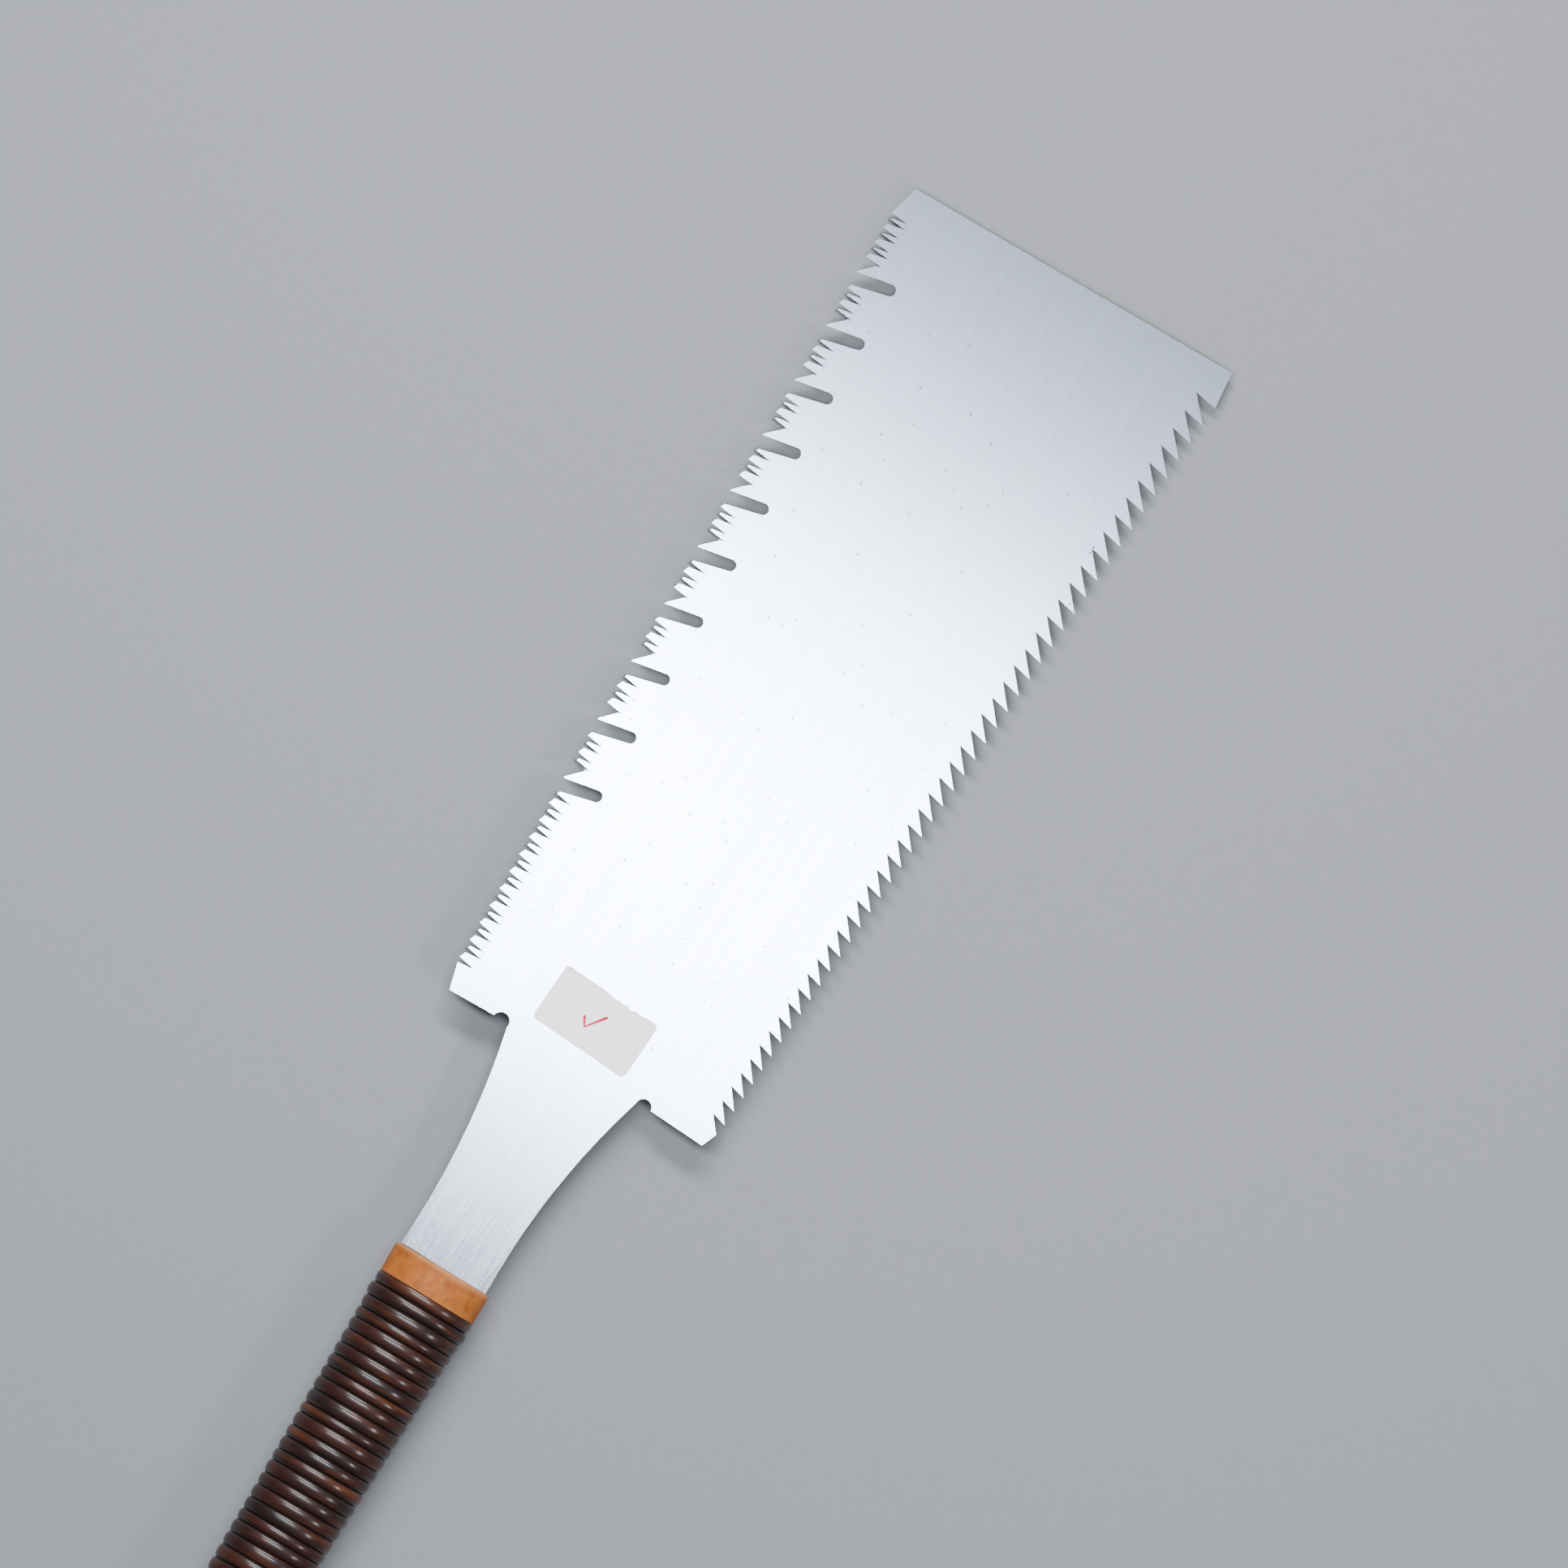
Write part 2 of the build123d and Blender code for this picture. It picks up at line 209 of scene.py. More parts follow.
def wind(number, tuck):
    """Winds one strip of cane in the place of its CAD sleeve."""
    node = f"rattan_strip_{number}"
    near, far = sleeve_span(node)
    pitch = (far - near) / TURNS
    print(node, "gets turns of", round(pitch / MM, 3), "mm")
    sleeve = nodes[node].data
    surface = BVHTree.FromPolygons(
        [v.co for v in sleeve.vertices], [p.vertices for p in sleeve.polygons]
    )
    bm = bmesh.new()
    strip_section(bm, pitch - CANE_GAP)
    bmesh.ops.spin(
        bm,
        geom=bm.verts[:] + bm.edges[:],
        cent=(0, 0, 0),
        axis=(1, 0, 0),
        dvec=(pitch / STEPS_PER_TURN, 0, 0),
        angle=2 * pi,
        steps=STEPS_PER_TURN,
        use_duplicate=False,
    )
    one_turn = bm.verts[:] + bm.edges[:] + bm.faces[:]
    for turn in range(1, TURNS + 1):
        copy = bmesh.ops.duplicate(bm, geom=one_turn)["geom"]
        moved = [part for part in copy if isinstance(part, bmesh.types.BMVert)]
        bmesh.ops.translate(bm, vec=(turn * pitch, 0, 0), verts=moved)
    bmesh.ops.remove_doubles(bm, verts=bm.verts, dist=MERGE)
    bmesh.ops.holes_fill(bm, edges=[e for e in bm.edges if e.is_boundary])
    lay_on_sleeve(bm, surface, near, far, pitch, number, tuck)
    return piece_from(bm, f"rattan_winding_{number}", "handle")


# %% [markdown]
# Each point still knows its place on the even screw thread: its angle, its turn, and
# where it is across the strip and how high. They give the point's new place on the
# sleeve, where a ray from outside finds the surface. The thread has one turn more than
# the sleeve has room for: the first turn widens from almost nothing and the last narrows
# to it, so both ends of the binding are square. The turn and the place across are also
# kept as a UV map, for the finish to follow the strip. ROUNDING_GUARD keeps a point that
# is just on the edge between two turns in its own turn.


# %% Lay the thread on the sleeve
ROUNDING_GUARD = 1e-4


def lay_on_sleeve(bm, surface, near, far, pitch, seed, tuck):
    """Moves the points of an even thread to their places on the oval sleeve."""
    turn_of = bm.verts.layers.float.new("turn")
    share_of = bm.verts.layers.float.new("share")
    for v in bm.verts:
        angle = atan2(v.co.z, v.co.y) / (2 * pi) % 1
        height = hypot(v.co.y, v.co.z) - SPIN_RADIUS
        whole = floor(v.co.x / pitch - angle + ROUNDING_GUARD)
        turn = whole + angle - 1
        share = min(max(v.co.x / pitch - angle - whole, 0), 1)
        v[turn_of], v[share_of] = turn, share
        low = min(edge_line(turn, pitch, seed), far - near - LEAST_WIDTH)
        high = max(edge_line(turn + 1, pitch, seed), low + LEAST_WIDTH)
        width = high - low
        thin = min(PARING * width / pitch, 1)
        behind = near + low + (0.5 + OVERLAP * (share - 0.5)) * width
        turned = 2 * pi * (angle + FROM_BOTTOM)
        out = ACROSS * -sin(turned) + UP * -cos(turned)
        held = min(max(behind, near + END_MARGIN), far - END_MARGIN)
        centre = MOUTH - ALONG * held
        hit = surface.ray_cast(centre + out * REACH, -out)[0]
        radius = (hit - centre).length
        if tuck:
            bulge = exp(-(((turn - TUCK_TURN) / TUCK_WIDTH) ** 2))
            radius += TUCK_LIFT * bulge * abs(sin(turned)) ** TUCK_TO_SIDES
        leant = min(max(behind - LEAN * height, near), far)
        v.co = MOUTH - ALONG * leant + out * (radius - STRIP_THICKNESS + height * thin)
    uv = bm.loops.layers.uv.new("strip")
    round_length = 2 * pi * SPIN_RADIUS
    for face in bm.faces:
        for loop in face.loops:
            v = loop.vert
            loop[uv].uv = (v[turn_of] * round_length, v[share_of] * pitch)


windings = [wind(number, tuck=number == 1) for number in (1, 2, 3)]
for number, piece in enumerate(windings, start=1):
    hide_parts(f"rattan_strip_{number}")

# %% [markdown]
# ## The paper label
#
# A small paper label is stuck across the blade beside the heel. Its tip-side edge has
# been scuffed until it frayed. A plain box has no points along its edges, so the sheet
# is cut from a fine grid. Its square corners are pulled in to their round, its edge is
# frayed, and a pen tick is laid on it.

# %% Cut the label
LABEL_SIZE = (18.3 * MM, 32.0 * MM)
LABEL_TURN = radians(-2)
LABEL_CORNER = 1.5 * MM
label_low, label_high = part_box("label")
LABEL_CENTRE = (label_low + label_high) / 2
LABEL_THICKNESS = label_high.z - label_low.z
GRID_STEP = 0.4 * MM

bm = bmesh.new()
counts = [round(size / GRID_STEP) for size in LABEL_SIZE]
bmesh.ops.create_grid(bm, x_segments=counts[0], y_segments=counts[1], size=0.5)
bmesh.ops.scale(bm, vec=(*LABEL_SIZE, 1), verts=bm.verts)
half_x, half_y = LABEL_SIZE[0] / 2, LABEL_SIZE[1] / 2
for v in bm.verts:
    over_x = abs(v.co.x) - (half_x - LABEL_CORNER)
    over_y = abs(v.co.y) - (half_y - LABEL_CORNER)
    if over_x > 0 and over_y > 0:
        # The points of one square line round the corner end up on one arc.
        ring = max(over_x, over_y)
        pull = ring / hypot(over_x, over_y)
        v.co.x += (pull - 1) * over_x * (1 if v.co.x > 0 else -1)
        v.co.y += (pull - 1) * over_y * (1 if v.co.y > 0 else -1)

# %% [markdown]
# The fray is a smooth noise that eats into the edge between two points along it, and
# dies out inside the sheet.

# %% Fray its edge
FRAY_DEPTH = 0.75 * MM
FRAY_FROM, FRAY_TO = -11.5 * MM, 2.5 * MM
FRAY_GRAIN = 1.1 * MM
FRAY_REACH = 2 * MM
FRAY_LEVEL = 0.5
FRAY_SLICE = 3.7
fray_middle, fray_half = (FRAY_FROM + FRAY_TO) / 2, (FRAY_TO - FRAY_FROM) / 2
for v in bm.verts:
    at_edge = max(0, 1 - (half_x - v.co.x) / FRAY_REACH)
    along_edge = max(0, 1 - ((v.co.y - fray_middle) / fray_half) ** 2)
    bite = FRAY_LEVEL + noise.noise(Vector((v.co.y / FRAY_GRAIN, FRAY_SLICE, 0)))
    v.co.x -= FRAY_DEPTH * at_edge * along_edge**0.5 * max(0, bite)

# %% [markdown]
# The flat sheet is extruded to the label's thickness, turned a little and put in its
# place on the blade.

# %% Lay the label down
sheet = bmesh.ops.extrude_face_region(bm, geom=bm.faces[:])["geom"]
top = [g for g in sheet if isinstance(g, bmesh.types.BMVert)]
bmesh.ops.translate(bm, vec=(0, 0, LABEL_THICKNESS), verts=top)
bmesh.ops.rotate(bm, matrix=Matrix.Rotation(LABEL_TURN, 3, "Z"), verts=bm.verts)
label_foot = (LABEL_CENTRE.x, LABEL_CENTRE.y, label_low.z)
bmesh.ops.translate(bm, vec=label_foot, verts=bm.verts)
label = piece_from(bm, "paper_label", "blade", smooth=False)
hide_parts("label")

# %% [markdown]
# The pen mark is a plain tick of a felt pen. A curve with a round section makes its
# even stroke and round ends, and it is then pressed nearly flat on the paper.

# %% Draw the tick
PEN_HALF_WIDTH = 0.42 * MM
PEN_ROUNDNESS = 3
INK_THICKNESS = 0.02 * MM
TICK_IN_MM = ((0.4, 2.7), (-2.4, 0.9), (3.6, -3.2))
TICK_SHIFT = (-0.6 * MM, 0.9 * MM)

stroke = bpy.data.curves.new("pen_tick", "CURVE")
stroke.dimensions = "3D"
stroke.bevel_depth = PEN_HALF_WIDTH
stroke.bevel_resolution = PEN_ROUNDNESS
stroke.use_fill_caps = True
line = stroke.splines.new("BEZIER")
line.bezier_points.add(len(TICK_IN_MM) - 1)
for point, place in zip(line.bezier_points, TICK_IN_MM):
    point.co = (place[0] * MM, place[1] * MM, 0)
    point.handle_left_type = point.handle_right_type = "VECTOR"
drawn = bpy.data.objects.new("pen_tick_curve", stroke)
bpy.context.scene.collection.objects.link(drawn)
bpy.context.view_layer.update()
flat = bpy.data.meshes.new_from_object(drawn)
bpy.data.objects.remove(drawn)
bm = bmesh.new()
bm.from_mesh(flat)
bmesh.ops.remove_doubles(bm, verts=bm.verts, dist=MERGE)
bmesh.ops.scale(bm, vec=(1, 1, INK_THICKNESS / PEN_HALF_WIDTH), verts=bm.verts)
bmesh.ops.rotate(bm, matrix=Matrix.Rotation(LABEL_TURN, 3, "Z"), verts=bm.verts)
tick_place = (LABEL_CENTRE.x + TICK_SHIFT[0], LABEL_CENTRE.y + TICK_SHIFT[1])
bmesh.ops.translate(bm, vec=(*tick_place, label_high.z), verts=bm.verts)
tick = piece_from(bm, "pen_tick", "blade")


# %% [markdown]
# ## Finishes
#
# Each finish is a small tree of nodes. One function turns a colour from the usual hex
# code into the linear light that the renderer mixes, and one adds a node: it sets its
# properties, fills or links its inputs, and gives back its first output.


# %% Colour and node helpers
def linear(code):
    """A hex colour code as linear red, green, blue and full opacity."""
    parts = [int(code[i : i + 2], 16) / 255 for i in (0, 2, 4)]
    light = [p / 12.92 if p <= 0.04045 else ((p + 0.055) / 1.055) ** 2.4 for p in parts]
    return (*light, 1)


def add(tree, kind, inputs=None, **settings):
    """Adds a node, and returns its first output in use."""
    made = tree.nodes.new("ShaderNode" + kind)
    for name, value in settings.items():
        setattr(made, name, value)
    for name, value in (inputs or {}).items():
        named = [s for s in made.inputs if s.enabled and s.name == name]
        socket = made.inputs[name] if isinstance(name, int) else named[0]
        if isinstance(value, bpy.types.NodeSocket):
            tree.links.new(value, socket)
        else:
            socket.default_value = value
    return next(s for s in made.outputs if s.enabled)


def new_finish(name):
    """An empty material, its tree and its Object coordinates."""
    material = bpy.data.materials.new(name)
    material.use_nodes = True
    material.node_tree.nodes.clear()
    places = add(material.node_tree, "TexCoord").node.outputs["Object"]
    return material, material.node_tree, places


def finish_with(tree, surface):
    """Links the finished surface to the material's output."""
    output = tree.nodes.new("ShaderNodeOutputMaterial")
    tree.links.new(surface, output.inputs["Surface"])


def paint(material, *pieces):
    """Gives a material to every slot of these pieces."""
    for piece in pieces:
        if not piece.data.materials:
            piece.data.materials.append(material)
        for used in piece.material_slots:
            used.material = material
    count = len(material.node_tree.nodes)
    print(material.name, "has", count, "nodes and is on", [p.name for p in pieces])


# %% [markdown]
# ### The blade: brushed saw steel
#
# Hardened high-carbon steel, ground and then brushed lengthwise. Brushing spreads each
# reflection across the blade, so the light makes bands that change only along it. The
# metal's own anisotropy does that, and thin long noise adds the brush lines. Noise
# stays sharp however near the camera comes.

# %% Brush lines
BROAD_SHARE = 0.4
steel, tree, places = new_finish("brushed_high_carbon_saw_steel")
# Real brush lines are about 0.05 mm wide: they are drawn 0.4 mm wide, to show.
fine_places = add(
    tree, "Mapping", {"Vector": places, "Scale": (1 / (45 * MM), 1 / (0.4 * MM), 1 / MM)}
)
fine = add(tree, "TexNoise", {"Vector": fine_places, "Scale": 1.0, "Detail": 3.0})
broad_places = add(
    tree, "Mapping", {"Vector": places, "Scale": (1 / (110 * MM), 1 / (3 * MM), 1 / MM)}
)
broad = add(tree, "TexNoise", {"Vector": broad_places, "Scale": 1.0, "Detail": 2.0})
brushed = add(
    tree,
    "Mix",
    {"Factor": BROAD_SHARE, "A": fine, "B": broad},
    data_type="FLOAT",
)
tint = add(
    tree,
    "Mix",
    {"Factor": brushed, "A": linear("BCC8E0"), "B": linear("DAE4F6")},
    data_type="RGBA",
)

# %% [markdown]
# Small dark pits of old rust are scattered over the middle of the blade, and stop short
# of the neck and the tip. Each is the core of a Voronoi cell, and a noise leaves most
# cells without one.

# %% Pits
# These are measured forwards from the handle's mouth,
PITS_BEGIN = 72 * MM
PITS_FULL = 78 * MM
# and these back from the tip.
PITS_FADE = 45 * MM
PITS_END = 25 * MM
pit_places = add(
    tree,
    "Mapping",
    {"Vector": places, "Scale": (1 / (9 * MM), 1 / (11 * MM), 1.0)},
)
cell = add(
    tree,
    "TexVoronoi",
    {"Vector": pit_places, "Scale": 1.0},
    voronoi_dimensions="2D",
)
core = add(
    tree,
    "MapRange",
    {"Value": cell, "From Min": 0.01, "From Max": 0.05, "To Min": 1.0, "To Max": 0.0},
)
chance = add(
    tree,
    "TexNoise",
    {"Vector": pit_places, "Scale": 0.9, "Detail": 0.0},
    noise_dimensions="2D",
)
kept = add(tree, "MapRange", {"Value": chance, "From Min": 0.52, "From Max": 0.55})
along_blade = add(tree, "SeparateXYZ", {"Vector": places})
past_neck = add(
    tree,
    "MapRange",
    {
        "Value": along_blade,
        "From Min": MOUTH.x + PITS_BEGIN,
        "From Max": MOUTH.x + PITS_FULL,
    },
)
before_tip = add(
    tree,
    "MapRange",
    {
        "Value": along_blade,
        "From Min": cad_high.x - PITS_END,
        "From Max": cad_high.x - PITS_FADE,
    },
)
middle = add(tree, "Math", {0: past_neck, 1: before_tip}, operation="MULTIPLY")
scattered = add(tree, "Math", {0: core, 1: kept}, operation="MULTIPLY")
pits = add(tree, "Math", {0: scattered, 1: middle}, operation="MULTIPLY")
pitted = add(
    tree,
    "Mix",
    {"Factor": pits, "A": tint, "B": linear("454852")},
    data_type="RGBA",
)

# %% [markdown]
# The neck's filed end: from the handle's mouth forwards, short flecks and long file
# strokes make the steel greyer, and fade out towards the heel.

# %% The filed neck
FILED_LENGTH = 75 * MM
STROKE_SHARE = 0.6
MOST_FILED = 0.8
near_mouth = add(
    tree,
    "MapRange",
    {
        "Value": along_blade,
        "From Min": MOUTH.x,
        "From Max": MOUTH.x + FILED_LENGTH,
        "To Min": 1.0,
        "To Max": 0.0,
    },
)
# Real file strokes are about 0.1 mm wide: they are drawn 0.25 mm wide, to show.
fleck_places = add(
    tree,
    "Mapping",
    {"Vector": places, "Scale": (1 / (1.1 * MM), 1 / (0.25 * MM), 1 / MM)},
)
flecks = add(tree, "TexNoise", {"Vector": fleck_places, "Scale": 1.0, "Detail": 2.0})
stroke_places = add(
    tree,
    "Mapping",
    {"Vector": places, "Scale": (1 / (25 * MM), 1 / (0.25 * MM), 1 / MM)},
)
strokes = add(tree, "TexNoise", {"Vector": stroke_places, "Scale": 1.0, "Detail": 2.0})
marks = add(
    tree,
    "Mix",
    {"Factor": STROKE_SHARE, "A": flecks, "B": strokes},
    data_type="FLOAT",
)
bright = add(tree, "MapRange", {"Value": marks, "From Min": 0.38, "From Max": 0.58})
filed_tint = add(
    tree,
    "Mix",
    {"Factor": bright, "A": linear("3C3F46"), "B": linear("9A9EA8")},
    data_type="RGBA",
)
filed_share = add(tree, "Math", {0: near_mouth, 1: MOST_FILED}, operation="MULTIPLY")
filed = add(
    tree,
    "Mix",
    {"Factor": filed_share, "A": pitted, "B": filed_tint},
    data_type="RGBA",
)

# %% [markdown]
# The teeth's bevels are filed after the brushing, so they are a plain grey without the
# blue cast. They are known by their slope: every flat face of the plate points straight
# up or down. The plate's thin edges take the same grey.

# %% Filed bevels
facing = add(tree, "TexCoord").node.outputs["Normal"]
upright = add(tree, "SeparateXYZ", {"Vector": facing}).node.outputs["Z"]
flatness = add(tree, "Math", {0: upright}, operation="ABSOLUTE")
bevelled = add(
    tree,
    "MapRange",
    {"Value": flatness, "From Min": 0.9, "From Max": 0.99, "To Min": 1.0, "To Max": 0.0},
)
colour = add(
    tree,
    "Mix",
    {"Factor": bevelled, "A": filed, "B": linear("B9BABC")},
    data_type="RGBA",
)

# %% [markdown]
# The filed neck is rougher than the brushed blade, and its marks replace the brush lines
# in the relief. The tangent points across the blade, and the metal's anisotropy spreads
# each reflection that way.

# %% Roughness, relief and the metal itself
FILED_ROUGHNESS = 0.56
smoothness = add(
    tree,
    "MapRange",
    {"Value": brushed, "From Min": 0.3, "From Max": 0.7, "To Min": 0.29, "To Max": 0.26},
)
rough = add(
    tree,
    "Mix",
    {"Factor": filed_share, "A": smoothness, "B": FILED_ROUGHNESS},
    data_type="FLOAT",
)
relief_height = add(
    tree,
    "Mix",
    {"Factor": near_mouth, "A": fine, "B": marks},
    data_type="FLOAT",
)
relief = add(
    tree,
    "Bump",
    {"Height": relief_height, "Strength": 0.16, "Distance": 0.02 * MM},
)
tangent = add(tree, "CombineXYZ", {"X": 0.0, "Y": 1.0, "Z": 0.0})
metal = add(
    tree,
    "BsdfPrincipled",
    {
        "Base Color": colour,
        "Metallic": 1.0,
        "Roughness": rough,
        "Anisotropic": 0.75,
        "Tangent": tangent,
        "Normal": relief,
    },
)
finish_with(tree, metal)
paint(steel, nodes["saw_plate"])

# %% [markdown]
# ### The tang: forged iron
#
# The spike inside the handle keeps the dark scale of the forge, with brown rust where
# the scale has flaked. One noise does for both: it says where the rust is, and it raises
# the hammered unevenness.

# %% Forge scale
forged, tree, places = new_finish("forged_iron_with_scale")
patches = add(tree, "TexNoise", {"Vector": places, "Scale": 1 / (6 * MM), "Detail": 5.0})
rusted = add(tree, "MapRange", {"Value": patches, "From Min": 0.5, "From Max": 0.62})
colour = add(
    tree,
    "Mix",
    {"Factor": rusted, "A": linear("3C3D42"), "B": linear("5E4334")},
    data_type="RGBA",
)
rough = add(
    tree,
    "MapRange",
    {"Value": rusted, "To Min": 0.5, "To Max": 0.8},
)
hammered = add(
    tree,
    "Bump",
    {"Height": patches, "Strength": 0.6, "Distance": 0.3 * MM},
)
metal = add(
    tree,
    "BsdfPrincipled",
    {"Base Color": colour, "Metallic": 0.85, "Roughness": rough, "Normal": hammered},
)
finish_with(tree, metal)
paint(forged, nodes["tang"])

# %% [markdown]
# ### The handle: oiled softwood
#
# Two halves of pale wood, worn and oiled by hands until they are the colour of honey.
# The grain runs along the handle: growth rings round a pith outside it give broad soft
# bands on the sides and arcs on the end grain. The wave texture makes them, stretched
# along the handle so that a ring hardly changes there.

# %% Growth rings
PITH_SHIFT = (0.0, 14 * MM, 9 * MM)
HANDLE_SKEW = radians(1.13)
RING_LENGTHENING = 25
# Real rings are 2 or 3 mm apart: they are drawn further apart, as soft bands.
RING_SPACING = 13.823 * MM
# The wave texture turns through 20 radians in each unit, and a ring is one full turn.
WAVE_RINGS = 20 / (2 * pi)
wood, tree, places = new_finish("hand_oiled_cypress_wood")
pith_places = add(
    tree,
    "Mapping",
    {
        "Vector": places,
        "Location": PITH_SHIFT,
        "Rotation": (0.0, 0.0, -HANDLE_SKEW),
        "Scale": (1 / RING_LENGTHENING, 1.0, 1.0),
    },
)
rings = add(
    tree,
    "TexWave",
    {
        "Vector": pith_places,
        "Scale": 1 / (WAVE_RINGS * RING_SPACING),
        "Distortion": 1.6,
        "Detail": 2.0,
        "Detail Scale": 1.0,
    },
    wave_type="RINGS",
    rings_direction="X",
    wave_profile="SAW",
)

# %% [markdown]
# Mottling lies under the rings, as the oil sank in unevenly, and thin fibres lie over
# them.

# %% Mottle and fibres
RING_STRENGTH = 0.3
# Real fibres are under 0.1 mm wide: they are drawn 0.3 mm wide, to show.
fibre_places = add(
    tree,
    "Mapping",
    {"Vector": places, "Scale": (1 / (9 * MM), 1 / (0.3 * MM), 1 / (0.3 * MM))},
)
fibres = add(tree, "TexNoise", {"Vector": fibre_places, "Scale": 1.0, "Detail": 3.0})
mottle = add(tree, "TexNoise", {"Vector": places, "Scale": 1 / (3.5 * MM), "Detail": 3.0})
patchy = add(tree, "MapRange", {"Value": mottle, "From Min": 0.2, "From Max": 0.8})
mottled = add(
    tree,
    "Mix",
    {"Factor": patchy, "A": linear("84400C"), "B": linear("B87028")},
    data_type="RGBA",
)
ring_share = add(tree, "Math", {0: rings, 1: RING_STRENGTH}, operation="MULTIPLY")
ringed = add(
    tree,
    "Mix",
    {"Factor": ring_share, "A": mottled, "B": linear("9A4E18")},
    data_type="RGBA",
)
fibre_share = add(
    tree,
    "MapRange",
    {"Value": fibres, "From Min": 0.55, "From Max": 0.8, "To Min": 0.0, "To Max": 0.4},
)
fibred = add(
    tree,
    "Mix",
    {"Factor": fibre_share, "A": ringed, "B": linear("7A3A12")},
    data_type="RGBA",
)

# %% [markdown]
# The glue line where the halves meet is a thin dark line at the blade's own height. The rim at
# the mouth is painted paler, as a painted highlight where its rounded edge catches the light.

# %% Glue line and painted rim highlight
GLUE_HALF_WIDTH = 0.15 * MM
spread = add(tree, "SeparateXYZ", {"Vector": places}).node
from_joint = add(
    tree,
    "Math",
    {0: spread.outputs["Z"], 1: MOUTH.z},
    operation="SUBTRACT",
)
off_joint = add(tree, "Math", {0: from_joint}, operation="ABSOLUTE")
glue = add(
    tree,
    "MapRange",
    {
        "Value": off_joint,
        "From Min": 0.05 * MM,
        "From Max": GLUE_HALF_WIDTH,
        "To Min": 0.6,
        "To Max": 0.0,
    },
)
glued = add(
    tree,
    "Mix",
    {"Factor": glue, "A": fibred, "B": linear("4A2914")},
    data_type="RGBA",
)
# The paler band at the mouth's rim is a painted highlight, not wear.
RIM_INNER = 1.8 * MM
RIM_OUTER = 0.6 * MM
painted_rim_highlight = add(
    tree,
    "MapRange",
    {
        "Value": spread.outputs["X"],
        "From Min": MOUTH.x - RIM_INNER,
        "From Max": MOUTH.x - RIM_OUTER,
        "To Min": 0.0,
        "To Max": 0.5,
    },
)
colour = add(
    tree,
    "Mix",
    {"Factor": painted_rim_highlight, "A": glued, "B": linear("B88658")},
    data_type="RGBA",
)
grain = add(
    tree,
    "Bump",
    {"Height": fibres, "Strength": 0.35, "Distance": 0.06 * MM},
)
timber = add(
    tree,
    "BsdfPrincipled",
    {
        "Base Color": colour,
        "Roughness": 0.6,
        "Specular IOR Level": 0.3,
        "Normal": grain,
    },
)
finish_with(tree, timber)
paint(wood, nodes["handle_upper_half"], nodes["handle_lower_half"])

# %% [markdown]
# ### The binding: lacquered rattan
#
# Rattan cane brushed with dark red-brown lacquer. Its skin takes the lacquer unevenly,
# so some turns are nearly black and others are redder, with patches that are worn to
# brown. The grooves between the turns are painted nearly black, as painted shade.
# Patterns in plain coordinates would run straight through the turns, so these read the
# strip's own UV map, in metres along and across the strip.

# %% Cane under lacquer
# The grooves are told by how far a point is from the strip's middle.
STRIP_MIDDLE = 1.95 * MM
cane, tree, places = new_finish("lacquered_split_rattan")
strip = add(tree, "UVMap", uv_map="strip")
turn_places = add(
    tree,
    "Mapping",
    {"Vector": strip, "Scale": (1 / (60 * MM), 1 / (12 * MM), 1.0)},
)
turns = add(tree, "TexNoise", {"Vector": turn_places, "Scale": 1.0, "Detail": 2.0})
redder = add(tree, "MapRange", {"Value": turns, "From Min": 0.35, "From Max": 0.6})
dark = add(
    tree,
    "Mix",
    {"Factor": redder, "A": linear("170805"), "B": linear("2D1009")},
    data_type="RGBA",
)
bare_places = add(
    tree,
    "Mapping",
    {"Vector": strip, "Scale": (1 / (38 * MM), 1 / (3 * MM), 1.0)},
)
bare = add(tree, "TexNoise", {"Vector": bare_places, "Scale": 1.0, "Detail": 3.0})
worn = add(tree, "MapRange", {"Value": bare, "From Min": 0.5, "From Max": 0.72})
browned = add(
    tree,
    "Mix",
    {"Factor": worn, "A": dark, "B": linear("4E250B")},
    data_type="RGBA",
)
across = add(tree, "SeparateXYZ", {"Vector": strip}).node.outputs["Y"]
from_middle = add(tree, "Math", {0: across, 1: STRIP_MIDDLE}, operation="SUBTRACT")
off_middle = add(tree, "Math", {0: from_middle}, operation="ABSOLUTE")
# Both edges of each turn are painted nearly black: painted shade in the grooves between turns.
painted_groove_shade = add(
    tree,
    "MapRange",
    {"Value": off_middle, "From Min": 1.1 * MM, "From Max": 1.75 * MM},
    interpolation_type="SMOOTHSTEP",
)
colour = add(
    tree,
    "Mix",
    {"Factor": painted_groove_shade, "A": browned, "B": linear("110604")},
    data_type="RGBA",
)

# %% [markdown]
# The lacquer is a clear coat over a duller skin. Faint long ridges in the cane and
# dimples in the lacquer break up the highlights.

# %% Skin and clear coat
DIMPLE_SHARE = 0.55
ridge_places = add(
    tree,
    "Mapping",
    {"Vector": strip, "Scale": (1 / (14 * MM), 1 / (0.35 * MM), 1.0)},
)
ridges = add(tree, "TexNoise", {"Vector": ridge_places, "Scale": 1.0, "Detail": 2.0})
dimples = add(
    tree,
    "TexNoise",
    {"Vector": places, "Scale": 1 / (0.6 * MM), "Detail": 2.0},
)
uneven = add(
    tree,
    "Mix",
    {"Factor": DIMPLE_SHARE, "A": ridges, "B": dimples},
    data_type="FLOAT",
)
skin = add(
    tree,
    "Bump",
    {"Height": uneven, "Strength": 0.3, "Distance": 0.07 * MM},
)
lacquered = add(
    tree,
    "BsdfPrincipled",
    {
        "Base Color": colour,
        "Roughness": 0.5,
        "Specular IOR Level": 0.2,
        "Normal": skin,
        "Coat Weight": 0.5,
        "Coat Roughness": 0.22,
        "Coat IOR": 1.5,
        "Coat Normal": skin,
    },
)
finish_with(tree, lacquered)
paint(cane, *windings)

# %% [markdown]
# ### The label: gummed paper and felt-pen ink
#
# Thin gummed paper, nearly white, rubbed smooth but still a little fibrous, with grey
# dirt on the frayed edge.

